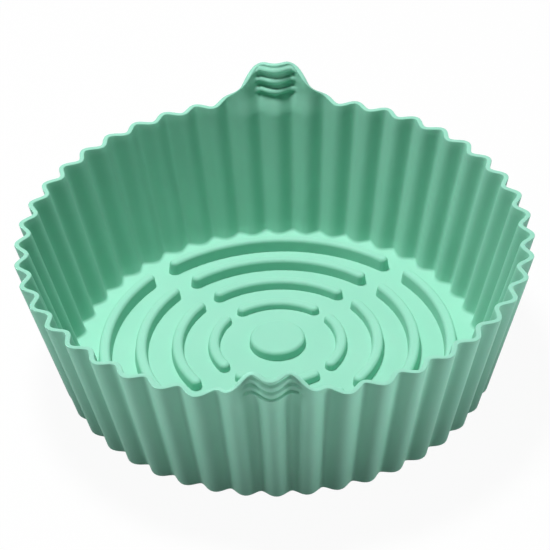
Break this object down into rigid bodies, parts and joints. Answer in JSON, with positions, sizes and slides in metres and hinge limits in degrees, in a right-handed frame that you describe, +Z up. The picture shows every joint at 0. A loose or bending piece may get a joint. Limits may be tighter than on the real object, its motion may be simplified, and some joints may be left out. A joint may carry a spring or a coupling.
{
  "type": "air fryer liner",
  "caption": "Round silicone basket liner with a fluted flaring wall, wavy ridged grip tabs and broken ring ribs round a centre boss on its floor.",
  "frame": {"origin": "on the plane the liner rests on, under the middle of its bounding box, which is the middle of the bowl", "axes": "+Z up out of the mouth of the bowl. Y runs through both grip tabs, with the picture's near tab towards -Y. +X is the picture's right."},
  "size_m": [0.2122, 0.2255, 0.0785],
  "materials": {
    "silicone": "matte moulded silicone, mint green"
  },
  "bodies": {
    "root": {"liner": "silicone"}
  },
  "joints": []
}
